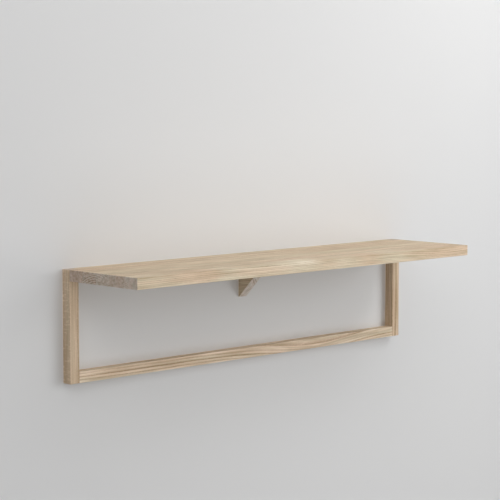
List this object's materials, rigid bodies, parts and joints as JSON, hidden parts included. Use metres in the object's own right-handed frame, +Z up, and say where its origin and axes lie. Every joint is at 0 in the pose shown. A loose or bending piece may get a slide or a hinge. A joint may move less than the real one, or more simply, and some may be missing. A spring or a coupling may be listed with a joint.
{
  "type": "wall shelf with hanging rail",
  "caption": "Solid oak shelf board on a flat rectangular frame that hangs on a wall, with a square rail below for hangers and hooks and a small triangular bracket under the middle.",
  "frame": {"origin": "middle of the top rail's back face, on the wall, at mid height of the shelf board", "axes": "+X along the wall to the right as seen from the room, +Y into the wall, +Z up; the shelf stands out along -Y"},
  "size_m": [1.08, 0.25, 0.25],
  "materials": {
    "shelf_oak": "pale oak, matt oiled",
    "frame_oak": "pale oak, matt oiled",
    "bracket_oak": "pale oak, matt oiled",
    "dowel_beech": "raw",
    "hanger_steel": "zinc plated, satin",
    "screw_steel": "zinc plated, satin"
  },
  "bodies": {
    "root": {"left_post": "frame_oak", "right_post": "frame_oak", "top_rail": "frame_oak", "bottom_rail": "frame_oak", "shelf_stave_1": "shelf_oak", "shelf_stave_2": "shelf_oak", "shelf_stave_3": "shelf_oak", "shelf_stave_4": "shelf_oak", "shelf_stave_5": "shelf_oak", "centre_bracket": "bracket_oak", "frame_dowel_1": "dowel_beech", "frame_dowel_2": "dowel_beech", "frame_dowel_3": "dowel_beech", "frame_dowel_4": "dowel_beech", "frame_dowel_5": "dowel_beech", "frame_dowel_6": "dowel_beech", "frame_dowel_7": "dowel_beech", "frame_dowel_8": "dowel_beech", "shelf_dowel_1": "dowel_beech", "shelf_dowel_2": "dowel_beech", "shelf_dowel_3": "dowel_beech", "shelf_dowel_4": "dowel_beech", "shelf_dowel_5": "dowel_beech", "shelf_dowel_6": "dowel_beech", "bracket_dowel_1": "dowel_beech", "bracket_dowel_2": "dowel_beech", "left_hanger_plate": "hanger_steel", "right_hanger_plate": "hanger_steel", "shelf_screw_1": "screw_steel", "shelf_screw_2": "screw_steel", "shelf_screw_3": "screw_steel", "shelf_screw_4": "screw_steel", "hanger_screw_1": "screw_steel", "hanger_screw_2": "screw_steel", "hanger_screw_3": "screw_steel", "hanger_screw_4": "screw_steel"}
  },
  "joints": []
}
